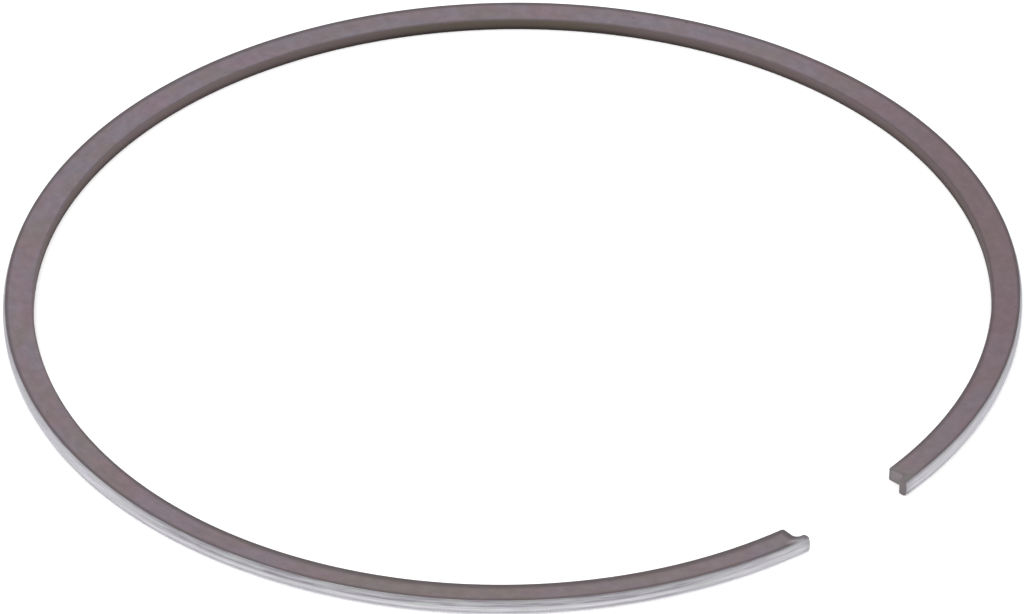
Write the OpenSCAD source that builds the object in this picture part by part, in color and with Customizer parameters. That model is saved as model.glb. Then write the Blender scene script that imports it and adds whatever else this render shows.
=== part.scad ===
// Piston ring for a two-stroke cylinder, in its free (sprung open) state.
// Half keystone section: flat lower side, upper side falling inward.
// The running face is a slightly barrelled land between two bevels.
// Origin on the lower side, in the middle of the ring's outline; the gap opens toward -Y.

/* [Ring] */
// Cylinder bore that the ring is made for, in mm
bore_d = 72; // [60:0.5:90]
// Axial height at the crown of the running face, before its bevels, in mm
ring_h = 1.2; // [1:0.05:2]
// Radial thickness from the inner face to the crown of the running face, in mm
radial_t = 2.25; // [2:0.05:3]

/* [Section] */
// Angle of the upper side, falling toward the inner face, in degrees
keystone_angle = 7; // [0:0.5:9]
// Fall of the barrel running face over the whole height, in mm
barrel_drop = 0.03; // [0.01:0.005:0.05]
// Width of the bevels above and below the running land, measured inward, in mm
bevel_w = 0.14; // [0.08:0.02:0.2]
// Height of the bevel above the running land, in mm
upper_bevel = 0.4; // [0.2:0.05:0.45]
// Height of the bevel below the running land, in mm
lower_bevel = 0.3; // [0.2:0.05:0.45]
// Chamfer on the two inner edges, in mm
inner_chamfer = 0.06; // [0.02:0.01:0.2]

/* [Free shape] */
// Distance between the two lips in the free state, in mm
free_gap = 9.2; // [6:0.2:14]
// Gap left between the two lips in the cylinder, in mm
closed_gap = 0.3; // [0.15:0.05:0.8]
// Evenness of the spring pressure: 1 is even all round, less is lighter at the ends
form = 0.8; // [0.5:0.05:1]

/* [Ends] */
// Radial depth of the locating pin notch, measured from the inner face, in mm
notch_depth = 1.5; // [0.9:0.05:1.6]
// Length of the lip that is left outside the notch, in mm
lip_length = 0.75; // [0.5:0.05:1.5]
// Radius in the inner corner of the notch, in mm
notch_r = 0.45; // [0.1:0.05:0.5]
// Radius on the inner corner of the lip, in mm
lip_r = 0.2; // [0.05:0.05:0.25]
// Chamfer on the corner between the inner face and the wall of the notch, in mm
corner_chamfer = 0.12; // [0.04:0.02:0.24]

/* [Hidden] */
$fn = 300;
// Circle segments of the short arcs in the section and in the notch.
barrel_fn = 240;
notch_fn = 48;
// How far the end arcs run past the lips before they are cut, and the cutter past the faces.
over = 1;

// Neutral line of the closed ring, and half of its length.
neutral_r = (bore_d - radial_t) / 2;
half_length = PI * neutral_r - closed_gap / 2;

// The free ring is three tangent arcs: a half turn across the back and one arc to each end.
// Its radii differ from the closed one by the share a, more at the back than at the ends,
// as the bending moment does; 2 / PI is the mean of the cosine over a quarter turn.
// They are kept to a thousandth of a mm.
function free_r(a, side) = round(1000 * neutral_r / (1 - a * (1 + side * form * 2 / PI))) / 1000;
function back_r(a) = free_r(a, 1);
function end_r(a) = free_r(a, -1);

// Distance of each end arc's centre from the YZ plane, and the angle that the end arc turns.
function end_shift(a) = back_r(a) - end_r(a);
function end_turn(a) = (half_length - back_r(a) * PI / 2) / end_r(a) * 180 / PI;

// Gap that the share a gives between the outer corners of the two lips.
function gap_at(a) = 2 * (end_shift(a) + (end_r(a) + radial_t / 2) * cos(end_turn(a)));

// The share for the wanted gap: first by the thin ring formula, then twice put right
// by the gap that it gives.
opening = free_gap - closed_gap;
spread_0 = opening / (neutral_r * PI * (2 + form));
spread_1 = spread_0 * opening / (gap_at(spread_0) - closed_gap);
spread = spread_1 * opening / (gap_at(spread_1) - closed_gap);

// Middle of the outline between the back and the lips, from the centre of the back arc.
back_y = back_r(spread) + radial_t / 2;
lip_y = -(end_r(spread) + radial_t / 2) * sin(end_turn(spread));
middle_y = (back_y + lip_y) / 2;

// Height of the inner face, and radius of the barrel face.
slope = tan(keystone_angle);
inner_h = ring_h - radial_t * slope;
barrel_r = (pow(ring_h / 2, 2) + pow(barrel_drop, 2)) / (2 * barrel_drop);

piston_ring();

// The whole ring, open toward -Y: three arcs, with the ends cut to shape.
module piston_ring() {
    color([0.50, 0.46, 0.48])
    translate([0, -middle_y, 0])
    difference() {
        union() {
            rotate_extrude(angle = 180) section_at(back_r(spread));
            end_arc();
            mirror([1, 0, 0]) end_arc();
        }
        end_cut();
        mirror([1, 0, 0]) end_cut();
    }
}

// Arc from the back to a little past the end on the +X side.
module end_arc() {
    turn = end_turn(spread) + over / end_r(spread) * 180 / PI;
    translate([end_shift(spread), 0, 0])
    rotate_extrude(start = -turn, angle = turn)
    section_at(end_r(spread));
}

// Section of the ring, with the neutral line at radius r.
// Its polygon starts at the lower edge of the inner face and runs outward along the lower side.
module section_at(r) {
    translate([r - radial_t / 2, 0])
    intersection() {
        polygon([
            [0, inner_chamfer],
            [inner_chamfer, 0],
            [radial_t - bevel_w, 0],
            [radial_t, lower_bevel],
            [radial_t, ring_h - upper_bevel],
            [radial_t - bevel_w, ring_h - bevel_w * slope],
            [inner_chamfer, inner_h + inner_chamfer * slope],
            [0, inner_h - inner_chamfer]
        ]);
        translate([radial_t - barrel_r, ring_h / 2]) circle(r = barrel_r, $fn = barrel_fn);
    }
}

// Cutter for the +X end: all that lies past the lip and in the notch.
// Its x axis runs outward from the inner face and its y axis back from the end of the lip.
module end_cut() {
    translate([end_shift(spread), 0, 0])
    rotate([0, 0, -end_turn(spread)])
    translate([end_r(spread) - radial_t / 2, 0, -over])
    linear_extrude(ring_h + 2 * over)
    union() {
        translate([-over, -2 * over]) square([radial_t + 2 * over, 2 * over]);
        translate([-over, -over]) square([over + notch_depth - notch_r, over + lip_length]);
        translate([-over, -over]) square([over + notch_depth, over + lip_length - notch_r]);
        translate([notch_depth - notch_r, lip_length - notch_r]) circle(r = notch_r, $fn = notch_fn);
        lip_waste();
        corner_waste();
    }
}

// What the rounding takes off the inner corner of the lip.
module lip_waste() {
    translate([notch_depth, 0])
    difference() {
        translate([-over, -over]) square(over + lip_r);
        translate([lip_r, lip_r]) circle(r = lip_r, $fn = notch_fn);
    }
}

// What the chamfer takes off the corner of the inner face.
module corner_waste() {
    polygon([
        [-over, lip_length],
        [corner_chamfer, lip_length],
        [-over, lip_length + corner_chamfer + over]
    ]);
}
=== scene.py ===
"""Piston ring: the dressed ring on a pale floor, in soft light, seen as in the photograph."""

import logging
import math
from collections.abc import Iterable, Mapping, Sequence
from dataclasses import dataclass, field
from enum import Enum
from typing import Any

import bmesh
import bpy
from mathutils import Color, Matrix, Vector


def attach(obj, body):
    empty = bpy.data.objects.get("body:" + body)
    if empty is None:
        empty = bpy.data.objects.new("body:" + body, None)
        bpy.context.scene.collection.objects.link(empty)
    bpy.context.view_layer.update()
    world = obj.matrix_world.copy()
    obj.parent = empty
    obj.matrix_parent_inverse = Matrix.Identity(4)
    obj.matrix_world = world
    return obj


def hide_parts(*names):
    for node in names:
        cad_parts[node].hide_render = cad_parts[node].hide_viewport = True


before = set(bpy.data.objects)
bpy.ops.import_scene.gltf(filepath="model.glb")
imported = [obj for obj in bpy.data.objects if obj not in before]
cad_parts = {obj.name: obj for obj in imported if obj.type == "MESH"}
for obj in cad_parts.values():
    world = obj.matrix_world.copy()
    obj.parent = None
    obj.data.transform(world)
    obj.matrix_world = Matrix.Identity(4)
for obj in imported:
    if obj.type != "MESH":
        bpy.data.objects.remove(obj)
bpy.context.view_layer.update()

LOG = logging.getLogger("piston_ring")
MM = 0.001
IMAGE_WIDTH = 1024
# The ring's attribute that tells a material how far along and across the ring a point lies.
LAY = "lay"
# Top level of a display colour, and the middle of soft noise.
TOP_LEVEL = 255
NOISE_MIDDLE = 0.5
# Sockets of a Mix node that mixes colours.
MIX_SHARE, MIX_FIRST, MIX_SECOND, MIX_RESULT = 0, 6, 7, 2

Tone = tuple[float, float, float, float]
Triple = tuple[float, float, float]
Stops = Sequence[tuple[float, float]]


def tone(red: int, green: int, blue: int) -> Tone:
    """A display colour, each part from 0 to 255, as the linear colour that a shader takes."""
    linear = Color((red / TOP_LEVEL, green / TOP_LEVEL, blue / TOP_LEVEL)).from_srgb_to_scene_linear()
    return linear.r, linear.g, linear.b, 1.0


class Signal:
    """One output of a shader node. Arithmetic on it adds Math nodes."""

    def __init__(self, board: "Board", socket: bpy.types.NodeSocket) -> None:
        """Keeps the board that the node is on, and the output."""
        self.board = board
        self.socket = socket

    def _math(self, operation: str, first: "Value", second: "Value" = 0.0) -> "Signal":
        """The output of a new Math node."""
        return self.board.add("ShaderNodeMath", {"operation": operation}, {0: first, 1: second})

    def __add__(self, other: "Value") -> "Signal":
        """This plus other."""
        return self._math("ADD", self, other)

    def __radd__(self, other: "Value") -> "Signal":
        """Other plus this."""
        return self._math("ADD", other, self)

    def __sub__(self, other: "Value") -> "Signal":
        """This less other."""
        return self._math("SUBTRACT", self, other)

    def __rsub__(self, other: "Value") -> "Signal":
        """Other less this."""
        return self._math("SUBTRACT", other, self)

    def __mul__(self, other: "Value") -> "Signal":
        """This times other."""
        return self._math("MULTIPLY", self, other)

    def __truediv__(self, other: "Value") -> "Signal":
        """This over other."""
        return self._math("DIVIDE", self, other)

    def least(self, other: "Value") -> "Signal":
        """The lesser of this and other."""
        return self._math("MINIMUM", self, other)

    def most(self, other: "Value") -> "Signal":
        """The greater of this and other."""
        return self._math("MAXIMUM", self, other)

    def size(self) -> "Signal":
        """This without its sign."""
        return self._math("ABSOLUTE", self)

    def root(self) -> "Signal":
        """The square root of this."""
        return self._math("SQRT", self)

    def swing(self, spread: float) -> "Signal":
        """Noise made to swing about 0, times spread."""
        return (self - NOISE_MIDDLE) * spread

    def blend(self, other: "Signal", part: float) -> "Signal":
        """This and other added, with this having the given part of the whole."""
        return self * part + other * (1.0 - part)

    def output(self, name: str) -> "Signal":
        """Another output of the same node."""
        return Signal(self.board, self.socket.node.outputs[name])


Value = float | Signal
Input = float | Sequence[float] | Signal


@dataclass(frozen=True)
class Grain:
    """How noise is laid on the ring.

    Attributes:
        scale: grains to a mm, on each axis of the place.
        detail: how many finer layers it has.
        roughness: how strong those are.
        shift: where it starts, so that no two are alike.
    """

    scale: Triple
    detail: float
    roughness: float = 0.5
    shift: Triple = (0.0, 0.0, 0.0)


class Board:
    """The node tree of one material."""

    def __init__(self, name: str) -> None:
        """Makes the material with a bare surface shader.

        Args:
            name: the material's name.
        """
        self.material = bpy.data.materials.new(name)
        self.material.use_nodes = True
        self.tree = self.material.node_tree
        self.shader = self.tree.nodes["Principled BSDF"]

    def add(
        self,
        kind: str,
        settings: Mapping[str, Any],
        inputs: Mapping[int | str, Input],
        output: int | str = 0,
    ) -> Signal:
        """Adds a node.

        Args:
            kind: the node's type.
            settings: its properties, and "stops" for a ramp's (place, grey) pairs.
            inputs: a value or a signal for each input, by name or number.
            output: the output that is wanted.

        Returns:
            That output.
        """
        node = self.tree.nodes.new(kind)
        for key, value in settings.items():
            if key == "stops":
                self._set_stops(node.color_ramp, value)
            else:
                setattr(node, key, value)
        for key, value in inputs.items():
            self.feed(node.inputs[key], value)
        return Signal(self, node.outputs[output])

    @staticmethod
    def _set_stops(ramp: bpy.types.ColorRamp, stops: Stops) -> None:
        """Sets a ramp's stops.

        Args:
            ramp: the ramp, which has two stops when it is new.
            stops: place and grey level of each stop, in order.
        """
        while len(ramp.elements) < len(stops):
            ramp.elements.new(0.5)
        for element, (place, level) in zip(ramp.elements, stops):
            element.position = place
            element.color = (level, level, level, 1.0)

    def feed(self, socket: bpy.types.NodeSocket, value: Input) -> None:
        """Links a signal to an input, or sets the input's own value.

        Args:
            socket: the input.
            value: the signal or the value.
        """
        if isinstance(value, Signal):
            self.tree.links.new(value.socket, socket)
        else:
            socket.default_value = value

    def surface(self, **inputs: Input) -> None:
        """Sets the surface shader's inputs, with _ for a blank in their names."""
        for name, value in inputs.items():
            self.feed(self.shader.inputs[name.replace("_", " ")], value)

    def mix(self, first: Input, second: Input, share: Value) -> Signal:
        """Mixes two colours.

        Args:
            first: the colour at a share of 0.
            second: the colour at a share of 1.
            share: how much of the second there is.

        Returns:
            The mixed colour.
        """
        return self.add(
            "ShaderNodeMix",
            {"data_type": "RGBA", "clamp_factor": True},
            {MIX_SHARE: share, MIX_FIRST: first, MIX_SECOND: second},
            MIX_RESULT,
        )

    def noise(self, place: Signal, grain: Grain) -> Signal:
        """Adds soft noise.

        Args:
            place: where the point lies, in mm.
            grain: how the noise is laid.

        Returns:
            The noise, from 0 to 1.
        """
        laid = {0: place, 1: grain.scale, 2: grain.shift}
        spot = self.add("ShaderNodeVectorMath", {"operation": "MULTIPLY_ADD"}, laid)
        inputs = {"Vector": spot, "Scale": 1.0, "Detail": grain.detail, "Roughness": grain.roughness}
        return self.add("ShaderNodeTexNoise", {"noise_dimensions": "3D"}, inputs)

    def place(self, x: Value, y: Value, z: Value) -> Signal:
        """A vector from three values."""
        return self.add("ShaderNodeCombineXYZ", {}, {0: x, 1: y, 2: z})

    def ramp(self, value: Signal, stops: Stops) -> Signal:
        """A grey level that follows the stops as value goes from 0 to 1."""
        return self.add("ShaderNodeValToRGB", {"stops": stops}, {0: value})

    def relief(self, height: Signal, depth: float) -> Signal:
        """The normal of a surface that rises by depth, in metres, as height goes from 0 to 1."""
        return self.add("ShaderNodeBump", {}, {"Strength": 1.0, "Distance": depth, "Height": height})


class RingPlace:
    """Where a point of a material lies on the ring, in mm.

    Attributes:
        along: how far along the ring from the middle of the back.
        depth: how far outward of the inner face.
        height: how high above the lower side.
        way: the share of the way from the +X end to the other.
        flat: along, depth and height, for noise on the sides and the ends.
        upright: along, height and depth, for noise on the inner and the running face.
    """

    def __init__(self, board: Board, ring: "Ring") -> None:
        """Reads the ring's own attribute and the height above its lower side.

        Args:
            board: the board of the material.
            ring: the ring's sizes.
        """
        self.ring = ring
        lay = board.add("ShaderNodeAttribute", {"attribute_name": LAY}, {}, "Vector")
        spot = board.add("ShaderNodeTexCoord", {}, {}, "Object")
        self.along = board.add("ShaderNodeSeparateXYZ", {}, {0: lay})
        self.depth = self.along.output("Y")
        self.height = board.add("ShaderNodeSeparateXYZ", {}, {0: spot}, "Z") / MM
        self.way = self.along / (2 * ring.half_length) + 0.5
        self.flat = board.place(self.along, self.depth, self.height)
        self.upright = board.place(self.along, self.height, self.depth)

    def from_tip(self) -> Signal:
        """Distance from the end of the nearer lip."""
        return self.ring.half_length - self.along.size()

    def from_inside(self) -> Signal:
        """Distance from a side's inner edge.

        Returns:
            The distance, which counts the edges of the notch and of the lip too.
        """
        ring, tip = self.ring, self.from_tip()
        past_wall = (tip - (ring.lip_length - ring.notch_r)).most(0.0)
        past_floor = (self.depth - (ring.notch_depth - ring.notch_r)).most(0.0)
        notch = (past_wall * past_wall + past_floor * past_floor).root() - ring.notch_r
        return notch.least(tip).least(self.depth)

    def from_outside(self) -> Signal:
        """Distance from a side's outer edge."""
        return self.ring.edge_depth - self.depth

    def out(self) -> Signal:
        """The share of the ring's thickness that lies further in."""
        return self.depth / self.ring.radial_t


@dataclass(frozen=True)
class PhosphateSide:
    """Dull purple grey of the two sides, clouded, with darker edges and greyer ends.

    Stops named way run from the +X end of the ring to the other, and those named out from
    its inner face to its running face. A reach is how far an edge's painted shade goes, in mm.
    """

    plum: Tone = tone(123, 103, 112)
    slate: Tone = tone(116, 109, 118)
    umber: Tone = tone(114, 103, 98)
    wine: Tone = tone(104, 84, 90)
    grey: Tone = tone(114, 110, 108)
    bare: Tone = tone(176, 172, 177)
    # Dark colour of the grain, the mottling and the pits, and also of the painted shade along the sides'
    # edges.
    dark_marks_and_edge_shade: Tone = tone(66, 58, 60)

    cloud: Grain = Grain((0.22, 0.6, 1.0), 5.0, 0.65)
    drift: Grain = Grain((0.3, 0.5, 1.0), 4.0, 0.65, (40.0, 0.0, 0.0))
    mottle: Grain = Grain((1.1, 1.3, 1.0), 3.0, 0.6, (0.0, 0.0, 9.0))
    grain: Grain = Grain((9.0, 12.0, 12.0), 4.0, 0.6)
    scratch: Grain = Grain((0.3, 26.0, 1.0), 2.0)
    pit: Grain = Grain((2.6, 3.1, 1.0), 1.0, shift=(0.0, 0.0, 20.0))

    slate_cloud: Stops = ((0.38, 0.0), (0.64, 0.95))
    slate_way: Stops = ((0.25, 0.0), (0.4, 0.22), (0.52, 0.22), (0.6, 0.0))
    umber_drift: Stops = ((0.38, 0.0), (0.62, 0.7))
    umber_way: Stops = (
        (0.1, 0.1), (0.14, 0.4), (0.18, 0.4), (0.22, 0.1),
        (0.8, 0.1), (0.86, 0.45), (0.95, 0.42), (0.98, 0.05),
    )
    umber_less: float = 0.28
    wine_way: Stops = ((0.02, 0.2), (0.1, 0.65), (0.2, 0.6), (0.29, 0.0))
    grey_way: Stops = ((0.003, 0.8), (0.013, 0.0), (0.988, 0.0), (0.998, 0.3))
    bare_way: Stops = ((0.9945, 0.0), (0.9965, 0.75))
    bare_out: Stops = ((0.64, 0.0), (0.74, 1.0))
    grain_part: float = 0.7
    grain_fall: Stops = ((0.25, 0.0), (0.75, 1.0))
    grain_shade: float = 0.1
    mottle_less: float = 0.4
    mottle_shade: float = 0.75
    pit_shade: Stops = ((0.75, 0.0), (0.79, 0.7))

    # Painted shade along the edges of the sides: how far it reaches, how it fades, and where along the
    # ring it shows.
    inner_reach: Stops = (
        (0.06, 0.55), (0.12, 0.34), (0.7, 0.22), (0.76, 0.55), (0.86, 1.0), (0.985, 0.95), (0.995, 0.82),
    )
    outer_reach: Stops = ((0.15, 0.36), (0.25, 0.56), (0.5, 0.6), (0.6, 0.36), (0.8, 0.48))
    edge_shade_fall: Stops = ((0.0, 1.0), (0.3, 0.95), (0.5, 0.6), (0.64, 0.15), (0.8, 0.0))
    inner_way: Stops = ((0.1, 0.9), (0.2, 0.7), (0.68, 0.6), (0.78, 1.0))
    outer_edge_shade: float = 0.85
    edge_shade_way: Stops = ((0.005, 0.25), (0.012, 0.75))

    metallic: float = 0.55
    roughness: float = 0.52
    roughness_spread: float = 0.25
    relief_part: float = 0.8
    relief_depth: float = 0.0000035

    def make(self, ring: "Ring") -> bpy.types.Material:
        """Builds the material.

        Args:
            ring: the ring's sizes.

        Returns:
            The material.
        """
        board = Board("phosphate_side")
        at = RingPlace(board, ring)
        grain = board.noise(at.flat, self.grain)
        scratch = board.noise(at.flat, self.scratch)
        bare = board.ramp(at.way, self.bare_way) * board.ramp(at.out(), self.bare_out)
        colour = self._clouds(board, at)
        colour = self._marks(board, at, colour, grain.blend(scratch, self.grain_part))
        colour = board.mix(colour, self.bare, bare)
        board.surface(
            Base_Color=board.mix(colour, self.dark_marks_and_edge_shade, self._edge_shade(board, at, bare)),
            Metallic=self.metallic,
            Roughness=self.roughness + grain.swing(self.roughness_spread),
            Normal=board.relief(grain.blend(scratch, self.relief_part), self.relief_depth),
        )
        return board.material

    def _clouds(self, board: Board, at: RingPlace) -> Signal:
        """Lays the large clouds of colour.

        Args:
            board: the board of the material.
            at: the place on the ring.

        Returns:
            The colour.
        """
        cloud = board.ramp(board.noise(at.flat, self.cloud), self.slate_cloud)
        # The tones laid by way are partly the sides' own colour and partly painted light and shade, for
        # how the light falls at each place along the ring.
        colour = board.mix(self.plum, self.slate, cloud + board.ramp(at.way, self.slate_way))
        drift = board.ramp(board.noise(at.flat, self.drift), self.umber_drift)
        warm = board.ramp(at.way, self.umber_way) + drift - self.umber_less
        colour = board.mix(colour, self.umber, warm)
        colour = board.mix(colour, self.wine, board.ramp(at.way, self.wine_way))
        return board.mix(colour, self.grey, board.ramp(at.way, self.grey_way))

    def _marks(self, board: Board, at: RingPlace, colour: Signal, grain: Signal) -> Signal:
        """Darkens a colour by its grain, its mottling and a few pits.

        Args:
            board: the board of the material.
            at: the place on the ring.
            colour: the colour.
            grain: the grain with its scratches.

        Returns:
            The marked colour.
        """
        mottle = board.noise(at.flat, self.mottle) - self.mottle_less
        shade = (1.0 - board.ramp(grain, self.grain_fall)) * self.grain_shade + mottle * self.mottle_shade
        pit = board.ramp(board.noise(at.flat, self.pit), self.pit_shade)
        return board.mix(board.mix(colour, self.dark_marks_and_edge_shade, shade), self.dark_marks_and_edge_shade, pit)

    def _edge_shade(self, board: Board, at: RingPlace, bare: Signal) -> Signal:
        """Finds how much painted shade darkens the edges of a side, standing in for the shading of their
        rounding.

        Args:
            board: the board of the material.
            at: the place on the ring.
            bare: the share of bare metal, which gets no painted shade at its outer edge.

        Returns:
            The share of the dark colour that paints the edge shade.
        """
        # Painted shade: the inner and outer edges of each side are darkened in colour.
        inner = board.ramp(at.from_inside() / board.ramp(at.way, self.inner_reach), self.edge_shade_fall)
        inner = inner * board.ramp(at.way, self.inner_way)
        outer = board.ramp(at.from_outside() / board.ramp(at.way, self.outer_reach), self.edge_shade_fall)
        return inner.most(outer * (self.outer_edge_shade - bare)) * board.ramp(at.way, self.edge_shade_way)


@dataclass(frozen=True)
class LappedFace:
    """Bright running face, with two lapping lines and fine marks that run round the ring.

    Stops named way run from the +X end of the ring to the other, those named level from its
    lower side upward, and those named tip back from the end of each lip, in mm.
    """

    bright: Tone = tone(206, 204, 209)
    dull: Tone = tone(122, 119, 126)
    smudge: Tone = tone(118, 115, 122)
    steel: Tone = tone(172, 175, 173)
    # Colour of the painted shade on the upper border of the face near both ends.
    crest_shade: Tone = tone(92, 85, 89)
    # Colour of the painted highlight: the lower border reflecting the pale floor.
    glint: Tone = tone(243, 242, 246)
    edge: Tone = tone(224, 223, 227)

    streak: Grain = Grain((0.05, 11.0, 1.0), 4.0, 0.6)
    hair: Grain = Grain((0.5, 13.0, 1.0), 3.0, 0.6)
    patch: Grain = Grain((0.045, 0.6, 0.0), 2.0, shift=(7.0, 0.0, 0.0))
    tint: Grain = Grain((0.3, 3.0, 0.0), 3.0, 0.6, (3.0, 0.0, 2.0))

    plain_level: Stops = ((0.0, 1.0), (0.4, 1.0), (0.6, 0.86), (0.8, 0.6), (1.0, 0.2))
    lined_level: Stops = (
        (0.0, 1.0), (0.13, 0.9), (0.24, 0.55), (0.32, 0.7), (0.42, 0.9),
        (0.52, 0.68), (0.65, 0.1), (0.76, 0.28), (0.9, 0.32), (1.0, 0.1),
    )
    # Where along the ring the lines show: partly the face's own finish, partly painted reflection.
    lined_way: Stops = (
        (0.008, 0.5), (0.025, 0.2), (0.05, 0.2), (0.15, 1.0), (0.68, 0.5),
        (0.76, 0.3), (0.79, 1.0), (0.95, 1.0), (0.98, 0.5),
    )
    band_share: float = 0.9
    streak_share: float = 0.8
    hair_share: float = 1.0
    steel_tint: Stops = ((0.46, 0.0), (0.64, 0.6))
    smudge_tip: Stops = ((0.06, 0.5), (0.25, 0.36), (0.6, 0.12), (0.9, 0.0))
    smudge_patch: Stops = ((0.56, 0.0), (0.74, 0.45))
    crest_shade_way: Stops = (
        (0.04, 1.0), (0.08, 0.6), (0.12, 0.0), (0.82, 0.0), (0.88, 1.0), (0.992, 1.0), (0.996, 0.2),
    )
    crest_shade_level: Stops = ((0.86, 0.0), (0.97, 0.42))
    glint_way: Stops = ((0.755, 0.0), (0.8, 1.0))
    glint_level: Stops = ((0.02, 0.8), (0.1, 0.5), (0.17, 0.0))

    metallic: float = 1.0
    roughness: float = 0.3
    roughness_spread: float = 0.2
    relief_part: float = 0.5
    relief_depth: float = 0.0000012

    def make(self, ring: "Ring") -> bpy.types.Material:
        """Builds the material.

        Args:
            ring: the ring's sizes.

        Returns:
            The material.
        """
        board = Board("lapped_running_face")
        at = RingPlace(board, ring)
        level = at.height / ring.ring_h
        streak = board.noise(at.upright, self.streak)
        hair = board.noise(at.upright, self.hair)
        marks = streak.swing(self.streak_share) + hair.swing(self.hair_share)
        bands = self._bands(board, at, level) * self.band_share
        colour = board.mix(self.dull, self.bright, bands + marks)
        board.surface(
            Base_Color=self._wear(board, at, level, colour),
            Metallic=self.metallic,
            Specular_Tint=self.edge,
            Roughness=self.roughness + streak.swing(self.roughness_spread),
            Normal=board.relief(hair.blend(streak, self.relief_part), self.relief_depth),
        )
        return board.material

    def _bands(self, board: Board, at: RingPlace, level: Signal) -> Signal:
        """Finds how bright the face is at each level.

        Args:
            board: the board of the material.
            at: the place on the ring.
            level: the share of the ring's height.

        Returns:
            The brightness, with the two lines strong only at some places along the ring, partly their own
            finish and partly painted reflection of how the light falls there.
        """
        plain = board.ramp(level, self.plain_level)
        lined = board.ramp(level, self.lined_level)
        # Partly painted reflection: the lines are made stronger or weaker along the ring.
        return plain + (lined - plain) * board.ramp(at.way, self.lined_way)

    def _wear(self, board: Board, at: RingPlace, level: Signal, colour: Signal) -> Signal:
        """Tints and smudges a colour, paints shade on part of its upper border and a highlight on part of
        its lower one.

        Args:
            board: the board of the material.
            at: the place on the ring.
            level: the share of the ring's height.
            colour: the colour.

        Returns:
            The worn colour.
        """
        tint = board.ramp(board.noise(at.upright, self.tint), self.steel_tint)
        colour = board.mix(colour, self.steel, tint)
        colour = board.mix(colour, self.smudge, board.ramp(at.from_tip(), self.smudge_tip))
        patch = board.ramp(board.noise(at.upright, self.patch), self.smudge_patch)
        colour = board.mix(colour, self.smudge, patch)
        # Painted shade: the upper border of the face is darkened near both ends.
        crest = board.ramp(at.way, self.crest_shade_way) * board.ramp(level, self.crest_shade_level)
        colour = board.mix(colour, self.crest_shade, crest)
        # Painted highlight: the lower border is brightened as if it reflected the pale floor.
        foot = board.ramp(at.way, self.glint_way) * board.ramp(level, self.glint_level)
        return board.mix(colour, self.glint, foot)


@dataclass(frozen=True)
class TurnedInside:
    """Dark brown inner face, with turning marks round the ring and painted shade towards its foot.

    Stops named way run from the +X end of the ring to the other, and those named level from
    the foot of the face to its top.
    """

    brown: Tone = tone(105, 92, 94)
    olive: Tone = tone(97, 89, 79)
    dark: Tone = tone(50, 44, 43)
    edge: Tone = tone(130, 114, 110)

    tint: Grain = Grain((0.2, 1.0, 0.0), 3.0, shift=(0.0, 0.0, 3.0))
    mark: Grain = Grain((0.25, 22.0, 0.0), 3.0)
    grain: Grain = Grain((10.0, 12.0, 0.0), 3.0, shift=(0.0, 0.0, 5.0))

    olive_way: Stops = ((0.33, 0.0), (0.36, 0.9), (0.39, 0.9), (0.43, 0.2), (0.5, 0.0))
    olive_tint: Stops = ((0.45, 0.0), (0.75, 0.5))
    foot_shade_level: Stops = ((0.05, 1.0), (0.45, 0.25), (0.9, 0.0))
    foot_shade: float = 0.8
    dark_way: Stops = ((0.1, 0.2), (0.16, 0.1), (0.22, 0.0), (0.37, 0.3), (0.42, 0.3), (0.52, 0.0))
    mark_spread: float = 0.5

    metallic: float = 0.5
    roughness: float = 0.5
    roughness_spread: float = 0.2
    relief_part: float = 0.7
    relief_depth: float = 0.000003

    def make(self, ring: "Ring") -> bpy.types.Material:
        """Builds the material.

        Args:
            ring: the ring's sizes.

        Returns:
            The material.
        """
        board = Board("turned_inside")
        at = RingPlace(board, ring)
        mark = board.noise(at.upright, self.mark)
        grain = board.noise(at.upright, self.grain)
        tint = board.ramp(board.noise(at.upright, self.tint), self.olive_tint)
        colour = board.mix(self.brown, self.olive, board.ramp(at.way, self.olive_way) + tint)
        # Painted shade: the inner face darkens towards its foot.
        foot = board.ramp(at.height / ring.inner_h, self.foot_shade_level) * self.foot_shade
        shade = foot + mark.swing(self.mark_spread) + board.ramp(at.way, self.dark_way)
        board.surface(
            Base_Color=board.mix(colour, self.dark, shade),
            Metallic=self.metallic,
            Specular_Tint=self.edge,
            Roughness=self.roughness + grain.swing(self.roughness_spread),
            Normal=board.relief(mark.blend(grain, self.relief_part), self.relief_depth),
        )
        return board.material


@dataclass(frozen=True)
class GroundEnd:
    """Plain grey of the ground notch and lip at the two ends, with painted shade on the lip's end face.

    Stops named out run from the ring's inner face to its running face.
    """

    grey: Tone = tone(124, 117, 119)
    dark: Tone = tone(84, 79, 80)

    mark: Grain = Grain((14.0, 14.0, 1.2), 3.0)
    grain: Grain = Grain((16.0, 16.0, 16.0), 3.0)

    lip_shade_out: Stops = ((0.64, 0.0), (0.69, 0.4))
    worn_out: Stops = ((0.02, 0.75), (0.08, 0.55), (0.16, 0.0))
    mark_spread: float = 0.7
    dark_least: float = 0.1

    metallic: float = 0.8
    roughness: float = 0.42
    roughness_spread: float = 0.25
    relief_part: float = 0.6
    relief_depth: float = 0.000003

    def make(self, ring: "Ring") -> bpy.types.Material:
        """Builds the material.

        Args:
            ring: the ring's sizes.

        Returns:
            The material.
        """
        board = Board("ground_end")
        at = RingPlace(board, ring)
        mark = board.noise(at.flat, self.mark)
        grain = board.noise(at.flat, self.grain)
        # Painted shade: the lip's end face, out past the notch floor, is darkened.
        lip = board.ramp(at.out(), self.lip_shade_out)
        worn = board.ramp(at.out(), self.worn_out)
        shade = mark.swing(self.mark_spread) + self.dark_least + lip + worn
        board.surface(
            Base_Color=board.mix(self.grey, self.dark, shade),
            Metallic=self.metallic,
            Roughness=self.roughness + grain.swing(self.roughness_spread),
            Normal=board.relief(mark.blend(grain, self.relief_part), self.relief_depth),
        )
        return board.material


class Surface(Enum):
    """The ring's surfaces, each with its own finish; the value is the material's number."""

    SIDE = 0
    RUNNING = 1
    INNER = 2
    END = 3


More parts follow.
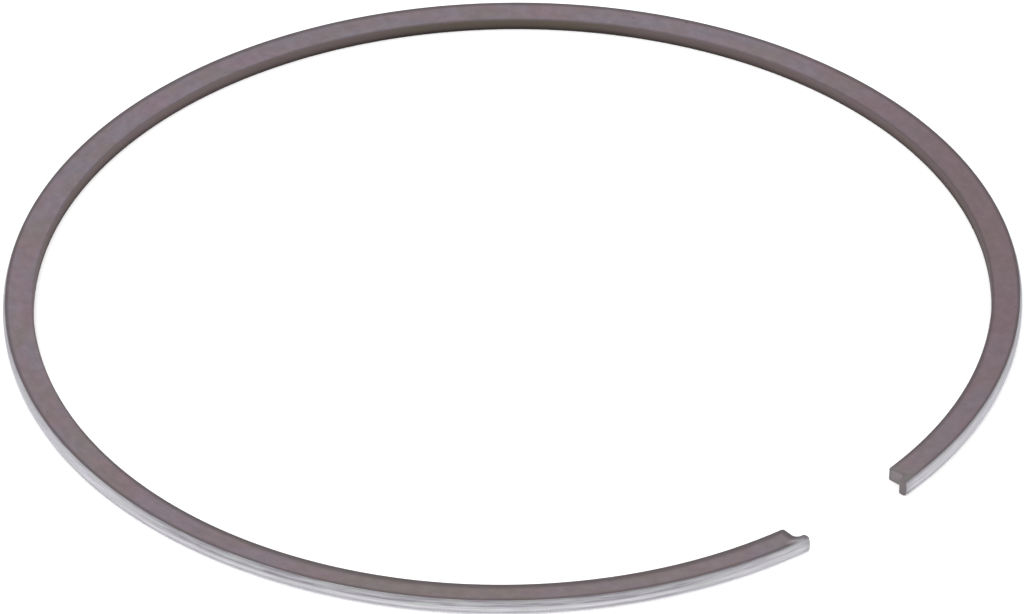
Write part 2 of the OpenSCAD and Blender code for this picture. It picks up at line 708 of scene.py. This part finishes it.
@dataclass
class Ring:
    """The split ring in its free state, with sizes in mm as in the part's source.

    Attributes:
        land_ease: how far the borders of the running land are eased.
        corner_r: rounding of the corner between the inner face and the wall of the notch.
        lip_corner: rounding of the outer corner of the lip.
        upper_edge, lower_edge: rounding of the edges round the upper and the lower side.
        skin: how far the outer corners stay inside the part's own facets.
        back_steps, end_steps: steps of the half turn across the back and of each end arc.
        face_cuts: cuts in the height of the running face, further apart than an edge's rounding.
        gap_rounds: how often the spread is put right by the gap that it gives.
        sharp_angle: least angle, in degrees, of an edge that is rounded.
        along_slack, depth_slack: how far an upright corner may be from its stated place.
        upright_share, upright_angle: how steep an upright corner is, and how sharp, in radians.
        level_share, facing_share: how near to its own direction a side and a face have to point.
        cut_slack: how near to the floor of the notch a corner counts as on it.
        flat_weight: how far large faces set the shading of the points they share.
    """

    bore_d: float = 72.0
    ring_h: float = 1.2
    radial_t: float = 2.25
    keystone_angle: float = 7.0
    barrel_drop: float = 0.03
    bevel_w: float = 0.14
    upper_bevel: float = 0.4
    lower_bevel: float = 0.3
    land_ease: float = 0.03
    free_gap: float = 9.2
    closed_gap: float = 0.3
    form: float = 0.8
    notch_depth: float = 1.5
    lip_length: float = 0.75
    notch_r: float = 0.45
    lip_r: float = 0.2
    corner_r: float = 0.2
    lip_corner: float = 0.16
    upper_edge: float = 0.04
    lower_edge: float = 0.04
    skin: float = 0.015

    back_steps: int = 220
    end_steps: int = 100
    face_cuts: int = 15
    notch_steps: int = 9
    lip_steps: int = 6
    corner_steps: int = 4
    lip_corner_steps: int = 3
    edge_steps: int = 4
    gap_rounds: int = 2

    sharp_angle: float = 50.0
    along_slack: float = 0.08
    depth_slack: float = 0.1
    upright_share: float = 0.9
    upright_angle: float = 0.5
    level_share: float = 0.7
    facing_share: float = 0.8
    cut_slack: float = 0.00001
    flat_weight: int = 100

    spread: float = field(init=False)
    open_edges: int = field(init=False, default=0)

    def __post_init__(self) -> None:
        """Finds the share by which the free ring is opened, from the gap that is wanted."""
        opening = self.free_gap - self.closed_gap
        self.spread = opening / (self.neutral_r * math.pi * (2 + self.form))
        for _ in range(self.gap_rounds):
            self.spread *= opening / (self.gap() - self.closed_gap)

    @property
    def neutral_r(self) -> float:
        """Neutral line of the closed ring."""
        return (self.bore_d - self.radial_t) / 2

    @property
    def half_length(self) -> float:
        """Half of the neutral line's length."""
        return math.pi * self.neutral_r - self.closed_gap / 2

    @property
    def back_r(self) -> float:
        """Neutral radius of the half turn across the back."""
        return self._free_r(1)

    @property
    def end_r(self) -> float:
        """Neutral radius of the two end arcs."""
        return self._free_r(-1)

    @property
    def end_shift(self) -> float:
        """Distance of an end arc's centre from the middle plane."""
        return self.back_r - self.end_r

    @property
    def end_turn(self) -> float:
        """Angle of an end arc, in radians."""
        return (self.half_length - self.back_r * math.pi / 2) / self.end_r

    @property
    def slope(self) -> float:
        """Rise of the upper side for each mm outward."""
        return math.tan(math.radians(self.keystone_angle))

    @property
    def inner_h(self) -> float:
        """Height of the inner face."""
        return self.ring_h - self.radial_t * self.slope

    @property
    def outer_h(self) -> float:
        """Height of the upper side's outer corner, behind the bevel."""
        return self.ring_h - self.bevel_w * self.slope

    @property
    def corner_depth(self) -> float:
        """Depth of the section's outer corners, a little inside the part's own facets."""
        return self.radial_t - self.bevel_w - self.skin

    @property
    def edge_depth(self) -> float:
        """Depth of the upper side's outer edge, where the broken edge starts."""
        return self.corner_depth - self.upper_edge

    @property
    def middle_y(self) -> float:
        """Middle of the outline, from the centre of the back arc."""
        lip = (self.end_r + self.radial_t / 2) * math.sin(self.end_turn)
        return (self.back_r + self.radial_t / 2 - lip) / 2

    def _free_r(self, side: int) -> float:
        """A neutral radius of the free ring, to a thousandth of a mm: side is 1 at the back, else -1."""
        return round(self.neutral_r / (1 - self.spread * (1 + side * self.form * 2 / math.pi)), 3)

    def gap(self) -> float:
        """Gap between the outer corners of the two lips."""
        return 2 * (self.end_shift + (self.end_r + self.radial_t / 2) * math.cos(self.end_turn))

    def crown(self, height: float) -> float:
        """How far the running face stands out from the section's outer corners.

        Args:
            height: the height above the lower side.

        Returns:
            The distance: that of the land or of the bevel above or below it, whichever is
            less, and a little less where they meet, which is eased.
        """
        half = self.ring_h / 2
        land = self.bevel_w - self.barrel_drop * ((height - half) / half) ** 2
        rise = min(height / self.lower_bevel, (self.outer_h - height) / self.upper_bevel)
        bevel = self.bevel_w * rise
        near = max(self.land_ease - abs(land - bevel), 0.0)
        return min(land, bevel) - near**2 / (4 * self.land_ease)

    def lay_of(self, point: Vector) -> tuple[float, float]:
        """Where a point lies on the ring.

        Args:
            point: the point, from the centre of the back arc.

        Returns:
            How far it is along the ring from the middle of the back, and how far outward
            of the inner face.
        """
        if point.y >= 0:
            along = self.back_r * (math.atan2(point.y, point.x) - math.pi / 2)
            return along, point.xy.length - self.back_r + self.radial_t / 2
        side = 1 if point.x > 0 else -1
        arm = Vector((side * point.x - self.end_shift, point.y))
        along = self.back_r * math.pi / 2 - self.end_r * math.atan2(arm.y, arm.x)
        return -side * along, arm.length - self.end_r + self.radial_t / 2

    def outward(self, point: Vector) -> Vector:
        """The direction outward of the ring at a point."""
        centre = Vector((0, 0)) if point.y >= 0 else Vector((math.copysign(self.end_shift, point.x), 0))
        return (point.xy - centre).normalized().to_3d()

    def build(self) -> bpy.types.Object:
        """Makes the ring's mesh and object.

        Returns:
            The ring, in metres, in the part's frame.
        """
        shape = bmesh.new()
        loop = self._section(shape)
        far = self._sweep(shape, loop, Vector(), math.pi, self.back_steps)
        self._end(shape, loop, 1)
        self._end(shape, far, -1)
        bmesh.ops.recalc_face_normals(shape, faces=shape.faces)
        self._round_corners(shape)
        edge_faces = self._break_edges(shape)
        self._sort_faces(shape, edge_faces)
        self._mark_lay(shape)
        bmesh.ops.translate(shape, vec=(0, -self.middle_y, 0), verts=shape.verts)
        bmesh.ops.scale(shape, vec=(MM, MM, MM), verts=shape.verts)
        self.open_edges = sum(not e.is_manifold for e in shape.edges)
        mesh = bpy.data.meshes.new("ring")
        shape.to_mesh(mesh)
        shape.free()
        mesh.polygons.foreach_set("use_smooth", [True] * len(mesh.polygons))
        ring = bpy.data.objects.new("ring", mesh)
        bpy.context.scene.collection.objects.link(ring)
        ring.modifiers.new("flat_sides", "WEIGHTED_NORMAL").weight = self.flat_weight
        return ring

    def _section(self, shape: bmesh.types.BMesh) -> list[bmesh.types.BMEdge]:
        """Draws the section at the +X joint of the back, with the land and its bevels.

        Args:
            shape: the mesh to draw in.

        Returns:
            The section's edges, a closed loop.
        """
        inner_x = self.back_r - self.radial_t / 2
        corners = ((0, 0), (self.corner_depth, 0), (self.corner_depth, self.outer_h), (0, self.inner_h))
        verts = [shape.verts.new((inner_x + depth, 0, height)) for depth, height in corners]
        _, _, running, _ = [shape.edges.new((verts[i - 1], verts[i])) for i in range(len(verts))]
        bmesh.ops.subdivide_edges(shape, edges=[running], cuts=self.face_cuts)
        for vert in shape.verts:
            if vert.co.x > self.back_r:
                vert.co.x += self.crown(vert.co.z)
        return list(shape.edges)

    @staticmethod
    def _sweep(
        shape: bmesh.types.BMesh,
        loop: Iterable[bmesh.types.BMEdge],
        centre: Vector,
        angle: float,
        steps: int,
    ) -> list[bmesh.types.BMEdge]:
        """Spins a section about a vertical axis.

        Args:
            shape: the mesh.
            loop: the section's edges.
            centre: a point of the axis.
            angle: how far it turns.
            steps: how many steps it takes.

        Returns:
            The edges of the last section.
        """
        edges = list(loop)
        verts = list({v for e in edges for v in e.verts})
        spun = bmesh.ops.spin(
            shape,
            geom=verts + edges,
            cent=centre,
            axis=(0, 0, 1),
            angle=angle,
            steps=steps,
            use_merge=False,
        )
        return [g for g in spun["geom_last"] if isinstance(g, bmesh.types.BMEdge)]

    def _end(self, shape: bmesh.types.BMesh, loop: Iterable[bmesh.types.BMEdge], side: int) -> None:
        """Runs the ring on from the back to one end, and draws the lip out past the notch.

        Args:
            shape: the mesh.
            loop: the section where the end arc starts.
            side: 1 at the +X end, -1 at the other.
        """
        centre = Vector((side * self.end_shift, 0, 0))
        lip_turn = self.lip_length / (self.end_r + self.radial_t / 2)
        last = self._sweep(shape, loop, centre, -side * (self.end_turn - lip_turn), self.end_steps)
        wall = bmesh.ops.edgeloop_fill(shape, edges=last)["faces"][0]
        outward = self.outward(wall.calc_center_median())
        floor = centre + outward * (self.end_r - self.radial_t / 2 + self.notch_depth)
        halves = bmesh.ops.bisect_plane(
            shape,
            geom=[wall, *wall.edges, *wall.verts],
            dist=self.cut_slack,
            plane_co=floor,
            plane_no=outward,
        )["geom"]
        lip = [
            g
            for g in halves
            if isinstance(g, bmesh.types.BMFace) and (g.calc_center_median() - floor).dot(outward) > 0
        ]
        drawn = bmesh.ops.extrude_face_region(shape, geom=lip)["geom"]
        bmesh.ops.delete(shape, geom=lip, context="FACES_ONLY")
        bmesh.ops.rotate(
            shape,
            verts=[g for g in drawn if isinstance(g, bmesh.types.BMVert)],
            cent=centre,
            matrix=Matrix.Rotation(-side * lip_turn, 3, "Z"),
        )

    def _upright(
        self, shape: bmesh.types.BMesh, depth: float, back: float
    ) -> list[bmesh.types.BMEdge]:
        """Finds the sharp upright edges at both ends.

        Args:
            shape: the mesh.
            depth: how far outward of the inner face they stand.
            back: how far behind the end of the lip they stand.

        Returns:
            The edges.
        """
        found = []
        for edge in shape.edges:
            line = edge.verts[1].co - edge.verts[0].co
            steep = abs(line.z) >= self.upright_share * line.length
            if not steep or edge.calc_face_angle(0) < self.upright_angle:
                continue
            along, out = self.lay_of((edge.verts[0].co + edge.verts[1].co) / 2)
            near = abs(self.half_length - abs(along) - back) < self.along_slack
            if near and abs(out - depth) < self.depth_slack:
                found.append(edge)
        return found

    def _round_corners(self, shape: bmesh.types.BMesh) -> None:
        """Rounds the upright corners of the notch and the lip at both ends.

        Args:
            shape: the mesh.
        """
        corners = (
            (self.notch_depth, self.lip_length, self.notch_r, self.notch_steps),
            (self.notch_depth, 0.0, self.lip_r, self.lip_steps),
            (0.0, self.lip_length, self.corner_r, self.corner_steps),
            (self.radial_t - self.bevel_w / 2, 0.0, self.lip_corner, self.lip_corner_steps),
        )
        for depth, back, radius, steps in corners:
            self._bevel(shape, self._upright(shape, depth, back), radius, steps)

    @staticmethod
    def _bevel(
        shape: bmesh.types.BMesh, edges: Sequence[bmesh.types.BMEdge], width: float, steps: int
    ) -> list[bmesh.types.BMFace]:
        """Rounds edges.

        Args:
            shape: the mesh.
            edges: the edges.
            width: how far the rounding reaches on each side.
            steps: how many steps it has.

        Returns:
            The faces of the rounding.
        """
        return bmesh.ops.bevel(
            shape,
            geom=list(edges),
            offset=width,
            offset_type="OFFSET",
            affect="EDGES",
            segments=steps,
            profile=0.5,
            material=-1,
            clamp_overlap=False,
        )["faces"]

    def _break_edges(self, shape: bmesh.types.BMesh) -> set[bmesh.types.BMFace]:
        """Breaks the sharp edges that are left, those round the upper and the lower side.

        Args:
            shape: the mesh.

        Returns:
            The faces of the broken edges.
        """
        sharp = [e for e in shape.edges if e.calc_face_angle(0) > math.radians(self.sharp_angle)]
        lower = [e for e in sharp if e.verts[0].co.z < self.inner_h / 2]
        upper = [e for e in sharp if e.verts[0].co.z > self.inner_h / 2]
        broken = self._bevel(shape, lower, self.lower_edge, self.edge_steps)
        return set(broken + self._bevel(shape, upper, self.upper_edge, self.edge_steps))

    def _sort_faces(self, shape: bmesh.types.BMesh, edge_faces: set[bmesh.types.BMFace]) -> None:
        """Gives each face the number of its surface.

        Args:
            shape: the mesh.
            edge_faces: the faces of the broken edges, which take the finish of a surface beside them.
        """
        bmesh.ops.recalc_face_normals(shape, faces=shape.faces)
        for face in shape.faces:
            middle = face.calc_center_median()
            _, depth = self.lay_of(middle)
            out = face.normal.dot(self.outward(middle))
            kind = Surface.END
            if face in edge_faces:
                kind = self._edge_kind(middle)
            elif abs(face.normal.z) > self.level_share:
                kind = Surface.SIDE
            elif out > self.facing_share:
                kind = Surface.RUNNING
            elif out < -self.facing_share and depth < self.corner_r:
                kind = Surface.INNER
            face.material_index = kind.value

    def _edge_kind(self, middle: Vector) -> Surface:
        """The surface whose finish a broken edge takes.

        Args:
            middle: the middle of one of the edge's faces.

        Returns:
            The surface: outside, the running face, else above, the side, and below, the
            one beside the edge.
        """
        _, depth = self.lay_of(middle)
        upper = middle.z > self.inner_h / 2
        if depth > (self.edge_depth if upper else self.corner_depth - self.lower_edge):
            return Surface.RUNNING
        if upper:
            return Surface.SIDE
        return Surface.INNER if depth < 2 * self.lower_edge else Surface.END

    def _mark_lay(self, shape: bmesh.types.BMesh) -> None:
        """Writes to each point how far along and across the ring it lies.

        Args:
            shape: the mesh.
        """
        layer = shape.verts.layers.float_vector.new(LAY)
        for vert in shape.verts:
            vert[layer] = Vector((*self.lay_of(vert.co), 0.0))

    def dress(self, ring: bpy.types.Object) -> None:
        """Puts the finishes on the ring, in the order of Surface, and ties it to the frame.

        Args:
            ring: the ring's object.
        """
        for finish in (PhosphateSide(), LappedFace(), TurnedInside(), GroundEnd()):
            ring.data.materials.append(finish.make(self))
        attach(ring, "root")
        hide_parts("piston_ring")


@dataclass
class Studio:
    """The floor, the light and the camera, in metres.

    Attributes:
        floor_drop: how far the floor lies under the ring.
        glow: light that the floor gives by itself, so that it stays pale.
        azimuth, elevation, roll: the camera's angles, in degrees.
        focal: the camera's focal length, in pixels of the photograph.
        offset: where the frame's origin is in the picture, in pixels right and up of its middle.
    """

    floor_size: float = 4.0
    floor_drop: float = 0.00001
    floor_tone: Tone = tone(250, 250, 250)
    floor_roughness: float = 0.9
    glow: float = 0.15

    sky_tone: Tone = (1.0, 1.0, 1.0, 1.0)
    sky: float = 1.1
    lamp_size: float = 0.6
    lamp_power: float = 1.6
    lamp_place: Triple = (-0.1, 0.1, 0.7)

    distance: float = 0.39684
    azimuth: float = -41.0
    elevation: float = 36.115
    roll: float = 0.26
    focal: float = 5382.0
    offset: tuple[float, float] = (-2.9, 17.4)
    sensor_mm: float = 36.0
    nearest: float = 0.01
    farthest: float = 20.0

    def build(self) -> None:
        """Makes the floor, the light and the camera."""
        self._floor()
        self._light()
        self._camera()

    def _floor(self) -> None:
        """Lays a plain pale floor just under the ring."""
        shape = bmesh.new()
        bmesh.ops.create_grid(shape, x_segments=1, y_segments=1, size=self.floor_size / 2)
        bmesh.ops.translate(shape, vec=(0, 0, -self.floor_drop), verts=shape.verts)
        mesh = bpy.data.meshes.new("floor")
        shape.to_mesh(mesh)
        shape.free()
        floor = bpy.data.objects.new("floor", mesh)
        bpy.context.scene.collection.objects.link(floor)
        board = Board("pale_floor")
        board.surface(
            Base_Color=self.floor_tone,
            Roughness=self.floor_roughness,
            Emission_Color=self.floor_tone,
            Emission_Strength=self.glow,
        )
        mesh.materials.append(board.material)

    def _light(self) -> None:
        """Lights the scene from a white sky and one wide lamp overhead."""
        scene = bpy.context.scene
        scene.view_settings.view_transform = "Standard"
        world = bpy.data.worlds.new("studio")
        world.use_nodes = True
        sky = world.node_tree.nodes["Background"]
        sky.inputs["Color"].default_value = self.sky_tone
        sky.inputs["Strength"].default_value = self.sky
        scene.world = world
        lamp = bpy.data.lights.new("overhead", "AREA")
        lamp.shape = "SQUARE"
        lamp.size = self.lamp_size
        lamp.energy = self.lamp_power
        overhead = bpy.data.objects.new("overhead", lamp)
        overhead.location = self.lamp_place
        scene.collection.objects.link(overhead)
        overhead.rotation_euler = Vector(overhead.location).to_track_quat("Z", "Y").to_euler()

    def _camera(self) -> None:
        """Sets the camera at the photograph's place and angle."""
        turn, lift = math.radians(self.azimuth), math.radians(self.elevation)
        back = Vector((math.sin(turn) * math.cos(lift), -math.cos(turn) * math.cos(lift), math.sin(lift)))
        level = Vector((math.cos(turn), math.sin(turn), 0))
        right = Matrix.Rotation(-math.radians(self.roll), 3, back) @ level
        up = back.cross(right)
        pixel = self.distance / self.focal
        aim = -pixel * (self.offset[0] * right + self.offset[1] * up)
        seat = self.distance * back
        back = (seat - aim).normalized()
        right = up.cross(back).normalized()
        up = back.cross(right)
        lens = bpy.data.cameras.new("photo_camera")
        lens.sensor_fit = "HORIZONTAL"
        lens.sensor_width = self.sensor_mm
        lens.lens = self.focal * self.sensor_mm / IMAGE_WIDTH
        lens.clip_start = self.nearest
        lens.clip_end = self.farthest
        camera = bpy.data.objects.new("photo_camera", lens)
        camera.matrix_world = Matrix.Translation(seat) @ Matrix((right, up, back)).transposed().to_4x4()
        bpy.context.scene.collection.objects.link(camera)
        bpy.context.scene.camera = camera


def main() -> None:
    """Builds the ring and the studio, and reports each piece."""
    logging.basicConfig(level=logging.INFO, format="%(name)s: %(message)s")
    maker = Ring()
    ring = maker.build()
    maker.dress(ring)
    faces = len(ring.data.polygons)
    LOG.info("ring: %d faces, gap %.3f mm, %d open edges", faces, maker.gap(), maker.open_edges)
    Studio().build()
    LOG.info("floor, light and camera")


if __name__ == "__main__":
    main()
